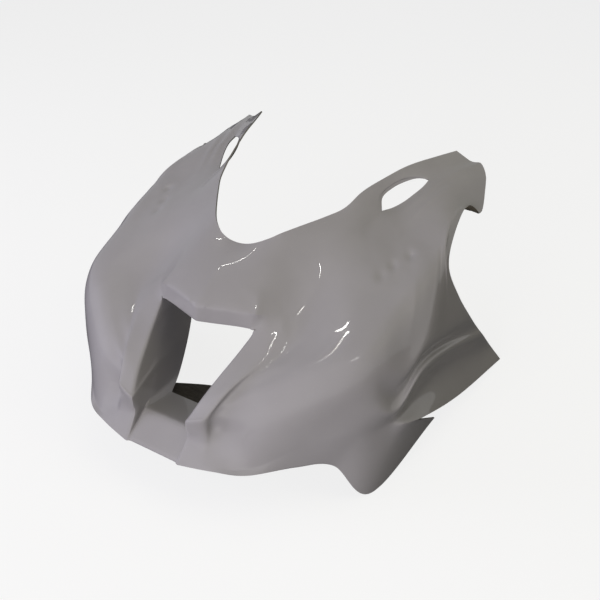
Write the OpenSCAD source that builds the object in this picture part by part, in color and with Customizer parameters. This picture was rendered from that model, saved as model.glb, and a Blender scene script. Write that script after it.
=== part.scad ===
// One-piece moulded nose fairing shell for a track motorcycle.
// The shell rests on its two flap tips and its two rear lower corners.
// X runs across, the nose points to -Y, Z is up. Sizes are in millimetres.

/* [Overall size] */
// Width over the rear lower corners.
overall_width = 590; // [520:5:660]
// Length from the chin to the rear end of the top wings.
overall_length = 550; // [480:5:620]
// Height of the chin edge above the floor at rest.
chin_height = 62; // [55:1:90]
// Height from the chin edge to the top of the screen edge.
nose_height = 300; // [260:5:340]

/* [Laminate] */
// Thickness of the moulded laminate.
wall = 2.4; // [1.8:0.1:3.4]

/* [Air duct] */
// Depth of the duct floor behind the chin edge.
duct_floor_depth = 98; // [85:1:115]
// Half width of the duct at its floor.
duct_floor_half = 42; // [36:1:46]

/* [Details] */
// How far the two grooves above each flap are pressed in.
groove_depth = 4; // [1:0.5:6]

/* [Output] */
// Piece to build.

/* [Hidden] */

// Stretch of the drawn shape to the overall sizes.
kx = overall_width / 590;
ky = overall_length / 550;
kz = nose_height / 300;

// The guide points below are measured from the chin edge on the centre
// plane: across, rearward, up.

// Cross steps of the side panel, one more than the guide columns need.
steps = [4, 4, 4, 4, 4, 6, 3, 4];
// Steps between two guide rows of the side panel.
row_steps = 2;

// Side panel. Each line is one guide column from the ridge at the top to
// the lower crease, columns run from the duct pillar to the rear edge.
pillar = [[79, 143, 174], [80, 137, 153], [74, 113, 134], [68, 91, 119],
    [62, 71, 105], [55, 48, 87], [49, 31, 70], [45, 22, 60],
    [45, 23, 46], [45, 24, 33], [43, 6, 9]];
valley = [[109, 180, 173], [119, 158, 154], [128, 136, 136], [118, 112, 124],
    [106, 90, 114], [95, 68, 102], [86, 49, 87], [80, 34, 66],
    [85, 36, 47], [89, 30, 28], [93, 15, 12]];
cheek_front = [[126, 206, 180], [139, 186, 167], [151, 165, 154], [162, 147, 147],
    [165, 129, 139], [160, 110, 129], [152, 90, 114], [145, 72, 94],
    [140, 58, 68], [138, 47, 38], [139, 38, 13]];
cheek_bulge = [[144, 245, 212], [164, 222, 196], [182, 198, 182], [196, 176, 170],
    [206, 155, 158], [211, 137, 143], [212, 123, 125], [209, 111, 105],
    [203, 101, 83], [195, 93, 62], [185, 86, 43]];
shoulder_front = [[146, 310, 242], [172, 292, 226], [195, 272, 209], [214, 248, 197],
    [229, 220, 186], [240, 190, 172], [246, 168, 151], [248, 152, 125],
    [247, 141, 98], [244, 133, 74], [240, 128, 51]];
shoulder_mid = [[147, 364, 256], [172, 350, 246], [198, 332, 231], [219, 312, 221],
    [240, 288, 209], [257, 260, 192], [266, 230, 156], [269, 200, 106],
    [273, 188, 76], [271, 184, 58], [267, 179, 44]];
shoulder_rear = [[178, 452, 280], [196, 430, 271], [214, 402, 259], [230, 374, 246],
    [245, 346, 230], [261, 318, 210], [272, 285, 170], [278, 252, 122],
    [285, 242, 91], [282, 236, 62], [287, 221, 33]];
wing_front = [[190, 497, 288], [212, 488, 279], [233, 438, 264], [237, 412, 256],
    [248, 366, 240], [263, 332, 212], [274, 322, 172], [282, 322, 114],
    [289, 330, 82], [286, 345, 44], [290, 370, -22]];
rear_edge = [[203, 545, 285], [228, 546, 275], [262, 458, 247], [245, 440, 258],
    [252, 382, 236], [265, 342, 208], [275, 352, 171], [284, 398, 107],
    [288, 432, 68], [292, 492, 2], [295, 555, -60]];
side_guides = [pillar, valley, cheek_front, cheek_bulge, shoulder_front,
    shoulder_mid, shoulder_rear, wing_front, rear_edge];
// The grooves run along two rows of the rear columns.
groove_share = [0, 0, 0, 0, 0, 0.5, 1, 1, 0.3];
side_net = [for (k = [0:8]) [for (v = [0:10]) side_guides[k][v]
    - [(v == 7 || v == 9) ? (groove_depth - 2) * groove_share[k] : 0, 0, 0]]];

// Crown panel between the duct lip or ridge and the screen edge.
lip_crease = [[0, 115, 176], [27, 124, 177], [54, 134, 177], [79, 143, 174]];
screen_front = [[0, 213, 230], [14, 214, 231], [28, 217, 235], [40, 223, 240]];
screen_side = [[40, 223, 240], [56, 238, 248], [73, 262, 254], [95, 296, 261],
    [110, 323, 268], [121, 361, 284], [145, 436, 298], [164, 490, 299],
    [183, 538, 299]];
// Upper side of the eye-shaped hole, front end to rear end.
hole_top = [[147, 364, 256], [139, 380, 269], [143, 402, 276], [151, 422, 280],
    [163, 442, 282], [178, 452, 280]];
// Lower side of the hole, front end to rear end.
hole_low = [[147, 364, 256], [156, 380, 257], [165, 398, 262], [172, 416, 269],
    [177, 434, 275], [178, 452, 280]];
crown = 4;

// Lower edge of the duct lip.
lip_low = [[0, 113, 152], [27, 122, 152], [54, 130, 153], [80, 137, 153]];

// Free lower edge: chin corner, front flange, flap tip and flap end.
flap_edge = [[42, 0, 2], [94, 11, 7], [139, 30, 7], [184, 77, 7],
    [220, 114, 0], [259, 154, -61], [277, 318, -34]];
flap_edge_steps = [4, 4, 4, 4, 4, 6];

// Catmull-Rom curve through the points p at station s of segment k.
function cr(a, b, c, d, s) = 0.5 * ((2 * b) + (c - a) * s
    + (2 * a - 5 * b + 4 * c - d) * s * s
    + (3 * b - a - 3 * c + d) * s * s * s);
function at(p, u) = let (n = len(p) - 1, k = min(floor(u), n - 1), s = u - k,
    b = p[k], c = p[k + 1],
    a = k > 0 ? p[k - 1] : 2 * b - c,
    d = k < n - 1 ? p[k + 2] : 2 * c - b) cr(a, b, c, d, s);
// Stations of a curve with a given number of steps in each segment.
function stations(st) = concat([for (k = [0:len(st) - 1])
    for (s = [0:st[k] - 1]) k + s / st[k]], [len(st)]);
function resample(p, n) = [for (i = [0:n]) at(p, i * (len(p) - 1) / n)];
function mix(a, b, s) = a * (1 - s) + b * s;

// Side panel grid: BI columns, BJ rows.
us = stations(steps);
BI = len(us) - 1;
BJ = row_steps * (len(pillar) - 1);
col_h0 = 20;
col_h1 = 26;
rows_b = [for (j = [0:BJ]) [for (k = [0:8]) at(side_net[k], j / row_steps)]];
net_b = [for (i = [0:BI]) [for (j = [0:BJ]) at(rows_b[j], us[i])]];
hole_low_s = resample(hole_low, col_h1 - col_h0);
// The rows beside the hole follow its lower side.
grid_b = [for (i = [0:BI]) [for (j = [0:BJ])
    i > col_h0 && i < col_h1 && j < 4
        ? net_b[i][j] + (hole_low_s[i - col_h0] - net_b[i][0]) * (1 - j / 4)
        : net_b[i][j]]];

// Crown grid: AC columns on the centre part, then the columns of the side.
AC = 6;
AR = 6;
lip_s = resample(lip_crease, AC);
scr_f = resample(screen_front, AC);
scr_s = [for (u = us) at(screen_side, u)];
hole_top_s = resample(hole_top, col_h1 - col_h0);
function low_a(c) = c <= AC ? lip_s[c]
    : let (i = c - AC) i > col_h0 && i < col_h1 ? hole_top_s[i - col_h0]
    : grid_b[i][0];
function top_a(c) = c <= AC ? scr_f[c] : scr_s[c - AC];
grid_a = [for (c = [0:AC + BI]) [for (r = [0:AR])
    let (s = r / AR) mix(low_a(c), top_a(c), s)
        + [0, 0, crown * 4 * s * (1 - s) * max(0, 1 - c / (AC + col_h0))]]];

// Lip face grid.
low_s = resample(lip_low, AC);
grid_l = [for (c = [0:AC]) [for (r = [0:row_steps])
    c == AC ? grid_b[0][r] : mix(lip_s[c], low_s[c], r / row_steps)]];

// Lower flange and flap grid, from the crease down to the free edge.
FI = col_h1;
FJ = 5;
edge_f = [for (u = stations(flap_edge_steps)) at(flap_edge, u)];
grid_f = [for (i = [0:FI]) [for (j = [0:FJ]) mix(grid_b[i][BJ], edge_f[i], j / FJ)]];

// Duct sleeve grid: roof, wall and floor round the duct, front to rear.
SZ = 4;
ST = AC + (BJ - row_steps) + FJ + SZ;
SD = 6;
front_s = concat([for (c = [0:AC]) low_s[c]],
    [for (j = [row_steps + 1:BJ]) grid_b[0][j]],
    [for (j = [1:FJ]) grid_f[0][j]],
    [for (z = [1:SZ]) [42 * (1 - z / SZ), 0, 2]]);
rear_roof = [[0, 168, 160], [30, 170, 160], [58, 178, 156], [78, 196, 146]];
rear_wall = [[78, 196, 146], [82, 204, 124], [80, 200, 104], [72, 180, 77],
    [62, 152, 51], [52, 124, 33], [duct_floor_half + 1, duct_floor_depth, 25]];
rear_s = concat(resample(rear_roof, AC),
    [for (q = [1:BJ - row_steps + FJ]) at(rear_wall, 6 * q / (BJ - row_steps + FJ))],
    [for (z = [1:SZ]) [(duct_floor_half + 1) * (1 - z / SZ), duct_floor_depth, 25]]);
// The floor rises from the chin edge to a crease and then falls rearward.
t_n = AC + BJ - row_steps + FJ;
function floor_w(t) = max(0, min(1, (t - AC) / (t_n - AC)));
floor_bow = [0, 12, 21, 21, 14, 7, 0];
grid_s = [for (t = [0:ST]) [for (d = [0:SD])
    mix(front_s[t], rear_s[t], d / SD) + [0, 0, floor_bow[d] * floor_w(t)]]];

// Underside of the chin, from the fold back to its rear edge.
GI = 16;
GR = 4;
belly_rear = [[0, 170, 0], [28, 163, 0], [74, 139, 1], [120, 112, 2],
    [160, 96, 3], [178, 86, 5]];
belly_s = resample(belly_rear, SZ + GI);
grid_g = [for (g = [0:SZ + GI]) [for (r = [0:GR])
    let (top = g <= SZ ? front_s[ST - g] : edge_f[g - SZ])
    mix(top, g == SZ + GI ? top + [-4, 6, -2] : belly_s[g], r / GR)]];

// Vertex numbers. Grids that meet share the vertices of the seam.
oB = 0;
oA = oB + (BI + 1) * (BJ + 1);
oL = oA + (AC + BI + 1) * (AR + 1);
oF = oL + (AC + 1) * (row_steps + 1);
oS = oF + (FI + 1) * (FJ + 1);
oG = oS + (ST + 1) * (SD + 1);
oEnd = oG + (SZ + GI + 1) * (GR + 1);
function vB(i, j) = oB + i * (BJ + 1) + j;
function vA(c, r) = r == 0 && c >= AC && (c - AC <= col_h0 || c - AC >= col_h1)
    ? vB(c - AC, 0) : oA + c * (AR + 1) + r;
function vL(c, r) = c == AC ? vB(0, r) : r == 0 ? vA(c, 0)
    : oL + c * (row_steps + 1) + r;
function vF(i, j) = j == 0 ? vB(i, BJ) : oF + i * (FJ + 1) + j;
function vS(t, d) = d > 0 ? oS + t * (SD + 1) + d
    : t <= AC ? vL(t, row_steps)
    : t <= AC + BJ - row_steps ? vB(0, row_steps + t - AC)
    : t <= t_n ? vF(0, t - AC - BJ + row_steps)
    : oS + t * (SD + 1);
function vG(g, r) = r > 0 ? oG + g * (GR + 1) + r
    : g <= SZ ? vS(ST - g, 0) : vF(g - SZ, FJ);

// Grid normals pointing to the outside of the moulding.
function cl(i, n) = max(0, min(n, i));
function gn(g, i, j, s) = let (n = len(g) - 1, m = len(g[0]) - 1,
    a = g[cl(i + 1, n)][j] - g[cl(i - 1, n)][j],
    b = g[i][cl(j + 1, m)] - g[i][cl(j - 1, m)],
    c = cross(a, b)) s * c / max(norm(c), 0.0001);
sA = 1;
sB = -1;
sL = -1;
sF = -1;
sS = -1;
sG = -1;

function total(v, k = 0) = k == len(v) - 1 ? v[k] : v[k] + total(v, k + 1);

nrm_b = [for (i = [0:BI]) for (j = [0:BJ]) concat([gn(grid_b, i, j, sB)],
    j == 0 && (i <= col_h0 || i >= col_h1) ? [gn(grid_a, i + AC, 0, sA)] : [],
    i == 0 && j <= row_steps ? [gn(grid_l, AC, j, sL)] : [],
    i == 0 && j >= row_steps ? [gn(grid_s, AC + j - row_steps, 0, sS)] : [],
    j == BJ && i <= FI ? [gn(grid_f, i, 0, sF)] : [])];
nrm_a = [for (c = [0:AC + BI]) for (r = [0:AR]) concat([gn(grid_a, c, r, sA)],
    r == 0 && c < AC ? [gn(grid_l, c, 0, sL)] : [])];
nrm_l = [for (c = [0:AC]) for (r = [0:row_steps]) concat([gn(grid_l, c, r, sL)],
    r == row_steps ? [gn(grid_s, c, 0, sS)] : [])];
nrm_f = [for (i = [0:FI]) for (j = [0:FJ]) concat([gn(grid_f, i, j, sF)],
    i == 0 ? [gn(grid_s, AC + BJ - row_steps + j, 0, sS)] : [],
    j == FJ && i <= GI ? [gn(grid_g, i + SZ, 0, sG)] : [])];
nrm_s = [for (t = [0:ST]) for (d = [0:SD]) concat([gn(grid_s, t, d, sS)],
    d == 0 && t > t_n ? [gn(grid_g, ST - t, 0, sG)] : [])];
nrm_g = [for (g = [0:SZ + GI]) for (r = [0:GR]) [gn(grid_g, g, r, sG)]];
nrm = concat(nrm_b, nrm_a, nrm_l, nrm_f, nrm_s, nrm_g);

function flat(g) = [for (a = g) for (b = a) b];
raw = concat(flat(grid_b), flat(grid_a), flat(grid_l), flat(grid_f),
    flat(grid_s), flat(grid_g));
// The flaps and rear corners hang below the chin edge by the chin height.
outer = [for (p = raw) [p.x * kx, p.y * ky,
    p.z > 0 ? p.z * kz : p.z * chin_height / 62]];
function push(p, v) = let (m = total(v) / len(v), q = p.x < 0.01 ? [0, m.y, m.z] : m,
    s = min(1.5 / max(norm(q), 0.001), 1 / max(q * q, 0.001)))
    p - wall * s * q;
inner = [for (k = [0:oEnd - 1]) push(outer[k], nrm[k])];

// The frame sits under the middle of the shell, on the floor.
both = concat(outer, inner);
y_mid = (min([for (p = both) p.y]) + max([for (p = both) p.y])) / 2;
z_low = min([for (p = both) p.z]);
half = [for (p = both) p - [0, y_mid, z_low]];
N1 = oEnd;
NH = 2 * oEnd;
points = concat(half, [for (p = half) [-p.x, p.y, p.z]]);
// Vertices on the centre plane are shared by both halves.
function other(k) = half[k].x < 0.01 ? k : k + NH;

function quads(n, m, flip) = [for (i = [0:n - 1]) for (j = [0:m - 1])
    flip ? [[i, j], [i, j + 1], [i + 1, j + 1], [i + 1, j]]
         : [[i, j], [i + 1, j], [i + 1, j + 1], [i, j + 1]]];
skin = concat(
    [for (q = quads(BI, BJ, false)) [for (e = q) vB(e[0], e[1])]],
    [for (q = quads(AC + BI, AR, true)) [for (e = q) vA(e[0], e[1])]],
    [for (q = quads(AC, row_steps, false)) [for (e = q) vL(e[0], e[1])]],
    [for (q = quads(FI, FJ, false)) [for (e = q) vF(e[0], e[1])]],
    [for (q = quads(ST, SD, false)) [for (e = q) vS(e[0], e[1])]],
    [for (q = quads(SZ + GI, GR, false)) [for (e = q) vG(e[0], e[1])]]);

// Open edges of the half shell, each as a run of vertices.
rim_outline = concat(
    [for (c = [0:AC + BI]) vA(c, AR)],
    [for (r = [AR - 1:-1:0]) vA(AC + BI, r)],
    [for (j = [1:BJ]) vB(BI, j)],
    [for (i = [BI - 1:-1:FI]) vB(i, BJ)],
    [for (j = [1:FJ]) vF(FI, j)],
    [for (i = [FI - 1:-1:GI]) vF(i, FJ)],
    [for (r = [1:GR]) vG(SZ + GI, r)],
    [for (g = [SZ + GI - 1:-1:0]) vG(g, GR)]);
rim_duct = [for (t = [0:ST]) vS(t, SD)];
rim_hole = concat([for (i = [col_h0:col_h1]) vA(i + AC, 0)],
    [for (i = [col_h1 - 1:-1:col_h0]) vB(i, 0)]);
function strip(v, flip) = [for (k = [0:len(v) - 2])
    flip ? [v[k], v[k] + N1, v[k + 1] + N1, v[k + 1]]
         : [v[k], v[k + 1], v[k + 1] + N1, v[k] + N1]];
function tri(q) = [[q[0], q[1], q[2]], [q[0], q[2], q[3]]];
half_quads = concat(skin,
    [for (q = skin) [for (k = [3:-1:0]) q[k] + N1]],
    strip(rim_outline, true), strip(rim_duct, false), strip(rim_hole, false));
half_tris = [for (q = half_quads) for (t = tri(q)) t];
faces = concat(half_tris, [for (t = half_tris) [other(t[2]), other(t[1]), other(t[0])]]);

module fairing_shell() {
    color([0.56, 0.54, 0.55]) polyhedron(points = points, faces = faces, convexity = 12);
}

fairing_shell();
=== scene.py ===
"""Bare moulded nose fairing in glossy grey gel coat, on a pale floor.

The real part is one laminate shell, so one mesh stands for it. It is built
here panel by panel, in millimetres from the chin edge on the centre plane
(across, rearward, up), and joined into one skin before it gets its wall.
"""

from math import radians

import bpy
import numpy as np
from mathutils import Matrix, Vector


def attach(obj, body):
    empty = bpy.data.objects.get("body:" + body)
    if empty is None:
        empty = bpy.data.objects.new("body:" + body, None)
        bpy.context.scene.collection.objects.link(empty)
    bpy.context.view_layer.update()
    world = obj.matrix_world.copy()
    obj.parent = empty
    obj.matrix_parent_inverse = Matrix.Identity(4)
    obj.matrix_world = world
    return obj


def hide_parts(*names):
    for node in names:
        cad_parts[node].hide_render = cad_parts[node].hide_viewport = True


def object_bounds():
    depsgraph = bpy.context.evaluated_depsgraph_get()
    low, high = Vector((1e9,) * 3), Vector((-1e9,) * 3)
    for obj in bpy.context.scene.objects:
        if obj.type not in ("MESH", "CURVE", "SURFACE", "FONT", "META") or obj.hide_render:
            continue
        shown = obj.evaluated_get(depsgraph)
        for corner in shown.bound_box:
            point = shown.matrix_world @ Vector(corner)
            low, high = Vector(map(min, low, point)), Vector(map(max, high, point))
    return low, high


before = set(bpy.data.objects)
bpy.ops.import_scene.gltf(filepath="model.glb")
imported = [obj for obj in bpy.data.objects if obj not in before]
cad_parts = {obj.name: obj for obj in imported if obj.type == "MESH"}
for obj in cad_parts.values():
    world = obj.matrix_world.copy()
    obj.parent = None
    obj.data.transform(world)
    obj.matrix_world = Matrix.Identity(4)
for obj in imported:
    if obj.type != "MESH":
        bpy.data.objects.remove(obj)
size_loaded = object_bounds()

# Side panel
# The large panel outside the ridge: duct pillar with its flat face, valley,
# cheek, shoulder and rear wing, moulded in one with two pressed grooves.
FINE = 4  # grid steps here for each step of the solid model

# Guide columns from the ridge at the top down to the lower crease, front to
# rear. Rows 7 to 10 of the rear columns, counted from 0, are the shoulder's
# edge, the first groove, the rib and the second groove. The cheek's smooth
# columns have eleven points, spread over the same twelve rows. Along the
# grid, u counts the columns and v the rows.
PILLAR = [(79, 143, 174), (80, 137, 153), (74, 113, 134), (68, 91, 119),
          (62, 71, 105), (55, 48, 87), (49, 31, 70), (47, 26, 65),
          (45, 22, 60), (45, 23, 46), (45, 24, 33), (43, 6, 9)]
PILLAR_FACE = [(96, 161, 171), (103, 147, 155), (108, 123, 136),
               (102, 101, 124), (95, 80, 114), (87, 58, 101), (79, 40, 83),
               (76, 33, 76), (74, 28, 70), (73, 29, 50), (72, 25, 31),
               (70, 10, 11)]
VALLEY = [(109, 180, 173), (119, 158, 154), (128, 136, 136), (118, 112, 124),
          (106, 91, 113), (97, 74, 100), (89, 57, 86), (86, 51, 76),
          (85, 46, 66), (87, 43, 49), (89, 31, 29), (93, 15, 12)]
CHEEK_FRONT = [(126, 206, 180), (139, 186, 167), (151, 165, 154),
               (162, 147, 147), (165, 129, 139), (160, 110, 129),
               (152, 90, 114), (145, 72, 94), (140, 58, 68), (138, 47, 38),
               (139, 38, 13)]
CHEEK_BULGE = [(144, 245, 212), (164, 222, 196), (182, 198, 182),
               (196, 176, 170), (206, 155, 158), (211, 137, 143),
               (212, 123, 125), (209, 111, 105), (203, 101, 83),
               (195, 93, 62), (185, 86, 43)]
SHOULDER_FRONT = [(146, 310, 242), (172, 292, 226), (195, 272, 209),
                  (214, 248, 197), (229, 220, 186), (240, 190, 172),
                  (246, 168, 151), (248, 152, 125), (247, 141, 98),
                  (244, 133, 74), (240, 128, 51)]
SHOULDER_MID = [(147, 364, 256), (172, 350, 246), (198, 332, 231),
                (219, 312, 221), (240, 288, 209), (257, 260, 192),
                (268, 218, 137), (271, 204, 112), (266, 199, 84),
                (273, 183, 69), (269, 184, 54), (267, 179, 44)]
SHOULDER_REAR = [(178, 452, 280), (196, 430, 271), (214, 402, 259),
                 (230, 374, 246), (245, 346, 230), (261, 318, 210),
                 (276, 272, 158), (279, 255, 130), (270, 256, 103),
                 (279, 250, 93), (266, 256, 40), (287, 221, 33)]
WING_FRONT = [(190, 497, 288), (212, 486, 278), (229, 438, 261),
              (237, 412, 256), (248, 366, 240), (263, 332, 212),
              (277, 320, 150), (281, 322, 117), (271, 332, 90),
              (281, 340, 77), (266, 366, 25), (290, 370, -22)]
REAR_EDGE = [(203, 545, 285), (228, 546, 275), (254, 482, 236),
             (242, 449, 254), (252, 382, 236), (265, 342, 208),
             (276, 364, 155), (284, 399, 106), (280, 452, 56),
             (285, 470, 34), (281, 531, -23), (295, 555, -60)]
COLUMN_STEPS = [2, 2, 4, 4, 4, 4, 6, 3, 4]
ROW_STEPS = 22


def spline(points, u):
    """Catmull-Rom curve through points along axis 0, at stations u.

    Each end is carried on in a straight line for its outer neighbour.
    """
    p = np.asarray(points, float)
    p = np.concatenate([2 * p[:1] - p[1:2], p, 2 * p[-1:] - p[-2:-1]])
    u = np.asarray(u, float)
    k = np.minimum(np.floor(u).astype(int), len(p) - 4)
    s = (u - k).reshape((-1,) + (1,) * (p.ndim - 1))
    a, b, c, d = p[k], p[k + 1], p[k + 2], p[k + 3]
    return 0.5 * (2 * b + (c - a) * s + (2 * a - 5 * b + 4 * c - d) * s**2
                  + (3 * b - a - 3 * c + d) * s**3)


def stations(steps):
    """Curve stations: segment k is divided into FINE times steps[k] parts."""
    parts = [k + np.arange(n * FINE) / (n * FINE) for k, n in enumerate(steps)]
    return np.append(np.concatenate(parts), len(steps))


def resample(points, steps):
    """The curve at even stations, in FINE times steps intervals."""
    return spline(points, np.linspace(0, len(points) - 1, steps * FINE + 1))


smooth = [spline(column, np.linspace(0, len(column) - 1, len(PILLAR)))
          for column in (CHEEK_FRONT, CHEEK_BULGE, SHOULDER_FRONT)]
net = np.array([PILLAR, PILLAR_FACE, VALLEY, *smooth, SHOULDER_MID,
                SHOULDER_REAR, WING_FRONT, REAR_EDGE], float)
u = stations(COLUMN_STEPS)
v = np.linspace(0, len(PILLAR) - 1, ROW_STEPS * FINE + 1)
side = spline(spline(net, u).swapaxes(0, 1), v).swapaxes(0, 1)


def ramp(x, start, end):
    """0 on the near side of start, 1 past end, and an even climb between."""
    return np.clip((x - start) / (end - start), 0, 1)


def fair(grid, stiffness, hold):
    """Even out a grid along axis 0, as a plug is sanded with a long board.

    Each line is the one with the least sum of its squared distances to the
    given points, times hold, and its squared third differences, times
    stiffness.
    """
    third = np.diff(np.eye(len(grid)), 3, axis=0)
    firm = hold.T[:, :, None]
    system = stiffness * third.T @ third + firm * np.eye(len(grid))
    return np.linalg.solve(system, firm * grid.swapaxes(0, 1)).swapaxes(0, 1)


# The pillar, the valley, the grooves and the rear edge are crisp, so they
# are held. FIRM is the power of ten that holds a point in its place.
FIRM = 8
LONG_BOARD, SHORT_BOARD = 9e4, 1500  # stiffness along the panel and down it
HOLE_START, HOLE_END = 20, 26  # steps from the pillar
hole = slice(HOLE_START * FINE, HOLE_END * FINE + 1)
at_pillar = ramp(u, 3.0, 2.2)[:, None] * ramp(v, 1, 2)
at_grooves = ramp(u, 5.2, 6.0)[:, None] * ramp(v, 5.6, 6.2)
at_rear = ramp(u, 8.1, 8.6)[:, None] * np.ones(len(v))
hold = 10 ** (FIRM * np.max([at_pillar, at_grooves, at_rear], axis=0))
hold[hole, 0] = 10 ** FIRM
side = fair(side, LONG_BOARD, hold)
side = fair(side.swapaxes(0, 1), SHORT_BOARD, hold.T).swapaxes(0, 1)

# Eye-shaped holes
# An opening between the side panel and the crown, cut in the moulding. The
# side panel's top rows follow its lower side.
HOLE_TOP = [(147, 364, 256), (139, 380, 269), (143, 402, 276), (151, 422, 280),
            (163, 442, 282), (178, 452, 280)]
HOLE_LOW = [(147, 364, 256), (156, 380, 257), (165, 398, 262), (172, 416, 269),
            (177, 434, 275), (178, 452, 280)]
hole_steps = HOLE_END - HOLE_START
shift = resample(HOLE_LOW, hole_steps) - side[hole, 0]
side[hole] += shift[:, None] * ramp(v, 2, 0)[None, :, None]

# Crown panel
# Drawn straight from the duct lip and the ridge up to the screen edge, with
# a slight rise between them.
LIP_CREASE = [(0, 115, 176), (27, 124, 177), (54, 134, 177), (79, 143, 174)]
SCREEN_FRONT = [(0, 213, 230), (14, 214, 231), (28, 217, 235), (40, 223, 240)]
SCREEN_SIDE = [(40, 223, 240), (49, 231, 244), (56, 238, 248), (73, 262, 254),
               (95, 296, 261), (110, 323, 268), (121, 361, 284),
               (145, 436, 298), (164, 490, 299), (183, 538, 299)]
CROWN_RISE, RISE_STEPS = 4, 26  # the rise fades out over these steps
LIP_STEPS, CROWN_ROWS = 6, 6
FOLD_BOARD, CROWN_BOARD = 4000, 2e4  # stiffness, as for the side panel
SCREEN_HOLD = 100


def ruled(start, end, steps):
    """Grid of straight lines from each start point to its end point."""
    s = np.linspace(0, 1, steps * FINE + 1)[None, :, None]
    return start[:, None] * (1 - s) + end[:, None] * s


ridge = side[:, 0].copy()
ridge[hole] = resample(HOLE_TOP, hole_steps)
crown = ruled(np.concatenate([resample(LIP_CREASE, LIP_STEPS)[:-1], ridge]),
              np.concatenate([resample(SCREEN_FRONT, LIP_STEPS)[:-1],
                              spline(SCREEN_SIDE, u)]), CROWN_ROWS)
rearward = np.arange(len(crown)) / (RISE_STEPS * FINE)
across = np.linspace(0, 1, crown.shape[1])
crown[..., 2] += (CROWN_RISE * np.maximum(0, 1 - rearward)[:, None]
                  * 4 * across * (1 - across))

# Crown and side meet in a crisp fold at the duct and in a soft one above the
# cheek, so they are evened out together there, and held beside the hole.
past_lip = LIP_STEPS * FINE
panel = crown[past_lip:]
both = np.concatenate([panel[:, ::-1], side[:, 1:]], axis=1)
crisp = np.maximum(ramp(u, 2.2, 1.2), ramp(u, 5.0, 6.0))
hold = 10 ** (FIRM * crisp[:, None]) * np.ones(both.shape[:2])
hold[:, 0] = 10 ** FIRM
below = np.arange(both.shape[1]) - panel.shape[1]
hold *= 10 ** (FIRM * ramp(below / FINE, 4, 8))
both = fair(both.swapaxes(0, 1), FOLD_BOARD, hold.T).swapaxes(0, 1)
crown[past_lip:] = both[:, panel.shape[1] - 1::-1]
side[:, 1:] = both[:, panel.shape[1]:]
solid = np.r_[0:hole.start + 1, hole.stop - 1:len(u)]
side[solid, 0] = crown[past_lip:][solid, 0]

# The crown alone is then evened out rearward. It is held along the ridge and
# at both ends, and lightly at the screen edge.
hold = 10 ** (FIRM * ramp(across, 1 / 3, 0)) * np.ones((len(crown), 1))
hold[0] = hold[-1] = 10 ** FIRM
hold[:, -1] *= SCREEN_HOLD
crown = fair(crown, CROWN_BOARD, hold)

# Mirror pads, wing ribs and pillar pits
# A faint raised pad on each shoulder, with three shallow marks where the
# mirror's fasteners are drilled later, and two low ribs from the eye-shaped
# hole to the wing's end. A small pit lies beside the foot of each pillar.
MARKS = np.array([(216, 319, 222), (203, 293, 216), (197, 270, 207)], float)
PAD_RISE, PAD_RADIUS = 1.6, 24
MARK_DEPTH, MARK_RADIUS = 4.0, 5.5
PIT, PIT_DEPTH, PIT_RADIUS = (81, 38, 55), 7, 11
RIB_ROWS = np.array([0.6, 1.25])
RIB_RISE, RIB_WIDTH = 2.0, 0.17  # the width in rows


def outward(grid):
    """Unit normals of a grid: the cross product of its two tangents."""
    normal = np.cross(np.gradient(grid, axis=0), np.gradient(grid, axis=1))
    return normal / np.linalg.norm(normal, axis=-1, keepdims=True)


away = np.linalg.norm(side[:, :, None] - MARKS, axis=-1)
pad = PAD_RISE * np.exp(-(away.min(-1) / PAD_RADIUS) ** 4)
dents = MARK_DEPTH * np.exp(-(away / MARK_RADIUS) ** 2).sum(-1)
facing = outward(side)
facing *= np.sign(facing[len(u) // 2, len(v) // 2, 0])
ribs = RIB_RISE * np.exp(-((v[:, None] - RIB_ROWS) / RIB_WIDTH) ** 2).sum(-1)
ribs = ramp(u, 5.9, 6.9)[:, None] * ribs
pit = PIT_DEPTH * np.exp(-(np.linalg.norm(side - PIT, axis=-1) / PIT_RADIUS) ** 2)
pit *= ramp(u, 1, 2)[:, None]
side += facing * (pad + ribs - dents - pit)[..., None]

# Duct lip
# The short face under the crown's front edge, a shallow V in plan.
LIP_LOW = [(0, 113, 152), (27, 122, 152), (54, 130, 153), (80, 137, 153)]
LIP_ROWS = 2
lip_edge = resample(LIP_LOW, LIP_STEPS)
lip = ruled(resample(LIP_CREASE, LIP_STEPS), lip_edge, LIP_ROWS)
lip[-1] = side[0, :LIP_ROWS * FINE + 1]

# Flange and flaps
# The turned-under band below the crease, from the chin corner round the
# front to the hanging flap and its end behind the notch.
FREE_EDGE = [(42, 0, 2), (94, 11, 7), (139, 30, 7), (184, 77, 7),
             (220, 114, 0), (259, 154, -61), (277, 318, -34)]
FREE_STEPS, FLAP_ROWS = [4, 4, 4, 4, 4, 6], 5
free_edge = spline(FREE_EDGE, stations(FREE_STEPS))
flap = ruled(side[:sum(FREE_STEPS) * FINE + 1, -1], free_edge, FLAP_ROWS)

# Air duct
# An open sleeve behind the mouth: roof, side walls and floor. The floor
# climbs from the chin to a crease and then falls to its rear edge.
CHIN_HALF, CHIN_UP = 42, 2
REAR_ROOF = [(0, 168, 160), (30, 170, 160), (58, 178, 156), (78, 196, 146)]
REAR_WALL = [(78, 196, 146), (82, 204, 124), (80, 200, 104), (72, 180, 77),
             (62, 152, 51), (52, 124, 33), (43, 98, 25)]
FLOOR_RISE, FLOOR_CREASE = 23, 0.42  # the crease as a share of the depth
CHIN_STEPS, DUCT_ROWS = 4, 6
WALL_STEPS = ROW_STEPS - LIP_ROWS + FLAP_ROWS

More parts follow.
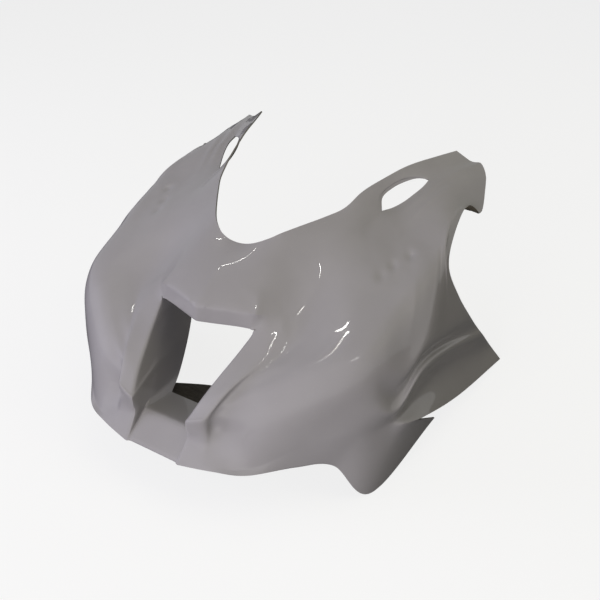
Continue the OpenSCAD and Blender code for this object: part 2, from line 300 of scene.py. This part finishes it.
middle = np.linspace(1, 0, CHIN_STEPS * FINE + 1)[1:, None]
mouth = np.concatenate([lip_edge, side[0, LIP_ROWS * FINE + 1:], flap[0, 1:],
                        middle * (CHIN_HALF, 0, 0) + (0, 0, CHIN_UP)])
rear_half, rear_depth, rear_up = REAR_WALL[-1]
sleeve_end = np.concatenate([resample(REAR_ROOF, LIP_STEPS),
                             resample(REAR_WALL, WALL_STEPS)[1:],
                             middle * (rear_half, 0, 0)
                             + (0, rear_depth, rear_up)])
duct = ruled(mouth, sleeve_end, DUCT_ROWS)
inward = np.linspace(0, 1, duct.shape[1])
floor_bow = FLOOR_RISE * np.minimum(inward / FLOOR_CREASE,
                                    (1 - inward) / (1 - FLOOR_CREASE))
on_floor = ramp(np.arange(len(duct)) / FINE, LIP_STEPS, LIP_STEPS + WALL_STEPS)
duct[..., 2] += on_floor[:, None] * floor_bow

# Chin underside
# A return folded back under the chin edge, widest in the middle.
CHIN_RETURN = [(0, 170, 0), (28, 163, 0), (74, 139, 1), (120, 112, 2),
               (162, 98, 3), (216, 120, -2)]
FOLD_STEPS, RETURN_ROWS = 16, 4
fold = np.concatenate([mouth[:-CHIN_STEPS * FINE - 1:-1],
                       free_edge[:FOLD_STEPS * FINE + 1]])
underside = ruled(fold, resample(CHIN_RETURN, CHIN_STEPS + FOLD_STEPS),
                  RETURN_ROWS)


# Joining the panels
# The panels leave the mould as one skin. Points that meet at a seam, or on
# the centre plane with the mirrored half, become one vertex.
def quads(grid, first, turned):
    """Corner numbers of a grid's cells, wound to face outward."""
    rows, columns = grid.shape[:2]
    i = first + np.arange(rows * columns).reshape(rows, columns)
    cell = np.stack([i[:-1, :-1], i[1:, :-1], i[1:, 1:], i[:-1, 1:]], -1)
    return cell.reshape(-1, 4)[:, ::-1 if turned else 1]


points, cells, count = [], [], 0
for panel, turned in ((side, True), (crown, False), (lip, True), (flap, True),
                      (duct, True), (underside, True)):
    points.append(panel.reshape(-1, 3))
    cells.append(quads(panel, count, turned))
    count += len(points[-1])
points, cells = np.concatenate(points), np.concatenate(cells)
points = np.concatenate([points, points * (-1, 1, 1)])
cells = np.concatenate([cells, cells[:, ::-1] + count])
_, kept, same = np.unique(np.round(points, 3) + 0.0, axis=0,
                          return_index=True, return_inverse=True)
points, cells = points[kept], same.reshape(-1)[cells]

# Rounded folds
# Resin can't fill a knife edge, so each fold has a small radius: a vertex
# moves half way to the mean of its neighbours, a few times over. The open
# edges stay where they are.
ROUNDS = 3
links = np.concatenate([cells[:, [k, (k + 1) % 4]] for k in range(4)])
key = np.sort(links, 1) @ (len(points), 1)
_, where, times = np.unique(key, return_index=True, return_counts=True)
open_edges = links[where[times == 1]]
free = np.ones((len(points), 1))
free[open_edges] = 0
neighbours = np.bincount(links[:, 0], minlength=len(points))[:, None]
for _ in range(ROUNDS):
    total = np.zeros_like(points)
    np.add.at(total, links[:, 0], points[links[:, 1]])
    points += 0.5 * free * (total / neighbours - points)

# Laminate wall
# The back of the shell lies one wall thickness behind its face along the
# mean normal, and a strip closes every trimmed edge. The laminate thins out
# where it is folded back on itself along the chin edge.
WALL, FOLD_WALL = 2.4, 0.4
FOLD_UP, FOLD_BACK = (16, 8), (100, 80)  # where the wall starts and ends thinning
MIDDLE_Y, FLOOR_Z = 277.524, -61.593  # the frame's origin
MM = 0.001
SHARP_ANGLE = 50

corner = points[cells]
cell_normal = np.cross(corner[:, 2] - corner[:, 0], corner[:, 3] - corner[:, 1])
normal = np.zeros_like(points)
for k in range(4):
    np.add.at(normal, cells[:, k], cell_normal)
normal /= np.linalg.norm(normal, axis=1)[:, None]
in_fold = ramp(points[:, 2:], *FOLD_UP) * ramp(points[:, 1:2], *FOLD_BACK)
wall = WALL + (FOLD_WALL - WALL) * in_fold
n = len(points)
points = np.concatenate([points, points - wall * normal])
strip = np.stack([open_edges[:, 1], open_edges[:, 0],
                  open_edges[:, 0] + n, open_edges[:, 1] + n], 1)
points = (points - (0, MIDDLE_Y, FLOOR_Z)) * MM
points = np.clip(points, size_loaded[0], size_loaded[1])
faces = np.concatenate([cells, cells[:, ::-1] + n, strip])
finish = np.repeat([0, 1, 2], [len(cells), len(cells), len(strip)])

skin = bpy.data.meshes.new("fairing_skin")
skin.from_pydata(points, [], faces.tolist())
skin.polygons.foreach_set("material_index", finish)
skin.polygons.foreach_set("use_smooth", np.ones(len(faces), bool))
skin.set_sharp_from_angle(angle=radians(SHARP_ANGLE))
shell = bpy.data.objects.new("fairing_skin", skin)
bpy.context.scene.collection.objects.link(shell)
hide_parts("fairing_shell")
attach(shell, "root")


# Gel coat
# The moulded face: a hard grey gloss, faintly cloudy where the laminate
# shows through, with a little orange peel and a haze of dust in patches.
class Socket:
    """A shader output that takes part in sums and products."""

    def __init__(self, tree, output=None):
        self.tree, self.output = tree, output

    def node(self, kind, out=0, settings=(), values=()):
        """Add a node: its settings first, then its values or links."""
        made = self.tree.nodes.new(kind)
        for name, setting in dict(settings).items():
            setattr(made, name, setting)
        for name, value in dict(values).items():
            feed(self.tree, made.inputs[name], value)
        return Socket(self.tree, made.outputs[out])

    def maths(self, operation, first, second):
        return self.node("ShaderNodeMath", 0, {"operation": operation},
                         {0: first, 1: second})

    def __add__(self, other):
        return self.maths("ADD", self, other)

    def __mul__(self, other):
        return self.maths("MULTIPLY", self, other)

    def __sub__(self, other):
        return self.maths("SUBTRACT", self, other)

    def __rsub__(self, other):
        return self.maths("SUBTRACT", other, self)

    __radd__, __rmul__ = __add__, __mul__


def feed(tree, target, value):
    """Link a socket to an input, or set the input to a plain value."""
    if isinstance(value, Socket):
        tree.links.new(value.output, target)
    else:
        target.default_value = value


def new_material(name):
    """A node material, its Principled shader and its object coordinates."""
    made = bpy.data.materials.new(name)
    made.use_nodes = True
    shader = made.node_tree.nodes["Principled BSDF"]
    place = Socket(made.node_tree).node("ShaderNodeTexCoord", "Object")
    return made, shader, place


def dress(shader, **values):
    """Set or link the shader's inputs by name."""
    for name, value in values.items():
        feed(shader.id_data, shader.inputs[name.replace("_", " ")], value)


def noise(place, scale, detail=3.0, roughness=0.5):
    return place.node("ShaderNodeTexNoise", 0, (),
                      {"Vector": place, "Scale": scale, "Detail": detail,
                       "Roughness": roughness})


def blend(share, low, high):
    """Colour between low and high."""
    return share.node("ShaderNodeMix", 2, {"data_type": "RGBA"},
                      {0: share, 6: low, 7: high})


def between(value, low, high):
    """0 below low, 1 above high, and an even climb between."""
    return value.node("ShaderNodeMapRange", 0, (), {0: value, 1: low, 2: high})


def relief(height, depth):
    """Normal bent by a height pattern, depth in metres."""
    return height.node("ShaderNodeBump", 0, (),
                       {"Strength": 1.0, "Distance": depth, "Height": height})


gel_coat, shader, place = new_material("gel_coat")
cloud = noise(place, 5.0, 4.0, 0.6)
tone = blend(between(cloud, 0.35, 0.65), (0.262, 0.250, 0.255, 1),
             (0.292, 0.280, 0.286, 1))
dust = between(noise(place, 620.0, 1.0), 0.70, 0.80)
dust = dust * between(noise(place, 7.0), 0.48, 0.62)
dress(shader, Base_Color=blend(dust * 0.45, tone, (0.42, 0.41, 0.39, 1)),
      Roughness=0.26 + 0.14 * noise(place, 11.0, 5.0, 0.6) + 0.3 * dust,
      Normal=relief(noise(place, 45.0, 2.0), 0.00012),
      IOR=1.5, Coat_Weight=0.8, Coat_Roughness=0.02)

# Laminate back
# Chopped glass mat, dull and matted, in a very dark brown that is partly
# painted shade: the inside is coloured as dark as it looks in its shadow.
laminate, shader, place = new_material("laminate_back_partly_painted_shade")
mat = noise(place, 160.0, 5.0, 0.75)
stretched = place.node("ShaderNodeMapping", 0, (),
                       {"Vector": place, "Scale": (40, 260, 90)})
strands = noise(stretched, 1.0, 2.0)
# The base colour's dark brown is partly painted shade of the shell's inside.
dress(shader, Base_Color=blend(mat, (0.024, 0.020, 0.016, 1),
                               (0.105, 0.088, 0.068, 1)),
      Roughness=0.50 + 0.30 * strands,
      Normal=relief(mat + 0.6 * strands, 0.0012))

# Trimmed edge
# Sawn and sanded laminate, between the two in tone.
trimmed, shader, place = new_material("trimmed_edge")
scratches = noise(place, 300.0, 3.0)
dress(shader, Base_Color=blend(scratches, (0.12, 0.11, 0.105, 1),
                               (0.26, 0.25, 0.24, 1)),
      Roughness=0.55 + 0.25 * scratches, Normal=relief(scratches, 0.0004))

for made in (gel_coat, laminate, trimmed):
    skin.materials.append(made)

# Floor and backdrop
# A plain pale floor that keeps the shadow, and a white surround.
REACH = 6  # metres
GLOW = 0.80  # share of its own light in what the camera sees of the floor
SHEEN = 0.3  # share of the white surround that the gloss shows
floor_sheet = bpy.data.meshes.new("floor")
floor_sheet.from_pydata([(-REACH, -REACH, 0), (REACH, -REACH, 0),
                         (REACH, REACH, 0), (-REACH, REACH, 0)], [],
                        [(0, 1, 2, 3)])
floor = bpy.data.objects.new("floor", floor_sheet)
bpy.context.scene.collection.objects.link(floor)

pale, shader, place = new_material("pale_floor")
ray = place.node("ShaderNodeLightPath", "Is Camera Ray")
paint = place.node("ShaderNodeBsdfDiffuse", 0, (), {"Color": (0.16, 0.16, 0.17, 1)})
matt = place.node("ShaderNodeBsdfDiffuse", 0, (), {"Color": (0.85, 0.85, 0.85, 1)})
white = place.node("ShaderNodeEmission", 0, (), {"Color": (1, 1, 1, 1)})
seen = place.node("ShaderNodeMixShader", 0, (), {0: GLOW, 1: matt, 2: white})
either = place.node("ShaderNodeMixShader", 0, (), {0: ray, 1: paint, 2: seen})
feed(pale.node_tree, pale.node_tree.nodes["Material Output"].inputs["Surface"], either)
floor_sheet.materials.append(pale)

surround = bpy.data.worlds.new("surround")
bpy.context.scene.world = surround
surround.use_nodes = True
tree = surround.node_tree
rays = Socket(tree).node("ShaderNodeLightPath", "Is Camera Ray")
gloss = Socket(tree).node("ShaderNodeLightPath", "Is Glossy Ray")
clear = Socket(tree).node("ShaderNodeLightPath", "Is Transmission Ray")
feed(tree, tree.nodes["Background"].inputs["Color"],
     blend(between(rays + SHEEN * gloss + clear, 0, 1), (0.22, 0.22, 0.23, 1),
           (1, 1, 1, 1)))


# Lamps
# Soft light, most of it from the front, cool from the left and warm from
# above and from the right. Two thin tubes draw bright lines on the gloss.
def lamp(name, place, target, size, power, colour, along=(1, 0, 0)):
    """Rectangular lamp facing a target, its long side turned along a line."""
    light = bpy.data.lights.new(name, "AREA")
    light.shape = "RECTANGLE"
    light.size, light.size_y = size
    light.energy, light.color = power, colour
    back = np.subtract(place, target)
    back = back / np.linalg.norm(back)
    long_side = np.subtract(along, np.dot(along, back) * back)
    long_side /= np.linalg.norm(long_side)
    turn = np.eye(4)
    turn[:3] = np.stack([long_side, np.cross(back, long_side), back, place], 1)
    holder = bpy.data.objects.new(name, light)
    holder.matrix_world = Matrix(turn.tolist())
    bpy.context.scene.collection.objects.link(holder)
    return holder


SHELL_MIDDLE = (0, 0, 0.2)
for name, place, size, power, colour in (
        ("soft_top", (0.6, 0.5, 2.6), (2.2, 2.2), 13, (1.0, 0.95, 0.62)),
        ("soft_front", (0.4, -2.7, 0.7), (1.8, 1.0), 62, (1.0, 0.97, 0.99)),
        ("soft_left", (-2.4, -1.5, 0.9), (1.6, 1.4), 38, (0.80, 0.79, 1.0)),
        ("soft_right", (2.6, 0.6, 1.9), (1.4, 1.4), 9, (1.0, 0.96, 0.62))):
    lamp(name, place, SHELL_MIDDLE, size, power, colour).visible_glossy = False

TUBE_WIDTH, TUBE_POWER = 0.012, 1.8  # metres, watts for each metre
for number, (start, end) in enumerate((
        ((-1.35, -0.22, 2.40), (-0.80, -0.05, 2.40)),
        ((0.48, -0.77, 2.40), (0.20, -0.99, 2.40)))):
    run = np.subtract(end, start)
    length = np.linalg.norm(run)
    tube = lamp(f"tube_{number}", np.add(start, end) / 2, SHELL_MIDDLE,
                (length, TUBE_WIDTH), TUBE_POWER * length, (1, 1, 0.95), run)
    tube.visible_diffuse = False

# Camera
# Above the right front corner, at the photograph's angle.
ELEVATION, AZIMUTH = 30.93, 32.52
camera = bpy.data.cameras.new("camera")
camera.sensor_width, camera.lens = 36, 48
viewer = bpy.data.objects.new("camera", camera)
viewer.location = (0.6116, -0.8605, 0.7967)
viewer.rotation_euler = (radians(90 - ELEVATION), 0, radians(AZIMUTH))
bpy.context.scene.collection.objects.link(viewer)
bpy.context.scene.camera = viewer
bpy.context.scene.view_settings.view_transform = "Standard"
